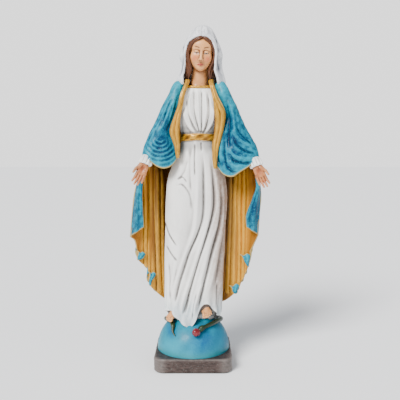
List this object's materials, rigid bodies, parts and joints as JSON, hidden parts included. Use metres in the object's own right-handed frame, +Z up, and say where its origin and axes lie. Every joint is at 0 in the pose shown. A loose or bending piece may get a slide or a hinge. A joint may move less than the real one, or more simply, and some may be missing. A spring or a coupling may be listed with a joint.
{
  "type": "madonna statue",
  "caption": "Hand-painted figure of a robed and veiled madonna with open hands, standing on a globe and a serpent on a square plinth.",
  "frame": {"origin": "centre of the felt pad's resting face, on the table", "axes": "+Z up along the figure, -Y out of the figure's front, +X towards the figure's left hand"},
  "size_m": [0.1234, 0.068, 0.3001],
  "materials": {
    "green_felt": "matte",
    "brown_wash": "satin",
    "blue_globe": "gloss",
    "steel": "satin",
    "serpent_green": "gloss",
    "apple_red": "gloss",
    "gown_white": "gloss",
    "skin": "gloss",
    "old_gold": "gloss",
    "mantle_blue": "gloss",
    "hair_brown": "satin",
    "veil_white": "gloss"
  },
  "bodies": {
    "root": {"felt_pad": "green_felt", "plinth": "brown_wash", "globe": "blue_globe", "base_dowel": "steel", "serpent": "serpent_green", "apple": "apple_red", "gown": "gown_white", "foot_left": "skin", "foot_right": "skin", "sash": "old_gold", "neck_braid": "old_gold", "mantle": "mantle_blue", "mantle_lining": "old_gold", "lapel_left": "old_gold", "lapel_right": "old_gold", "sleeve_left": "mantle_blue", "sleeve_right": "mantle_blue", "cuff_left": "gown_white", "cuff_right": "gown_white", "hand_left": "skin", "hand_right": "skin", "wrist_pin_left": "steel", "wrist_pin_right": "steel", "head": "skin", "hair_left": "hair_brown", "hair_right": "hair_brown", "veil": "veil_white"}
  },
  "joints": []
}
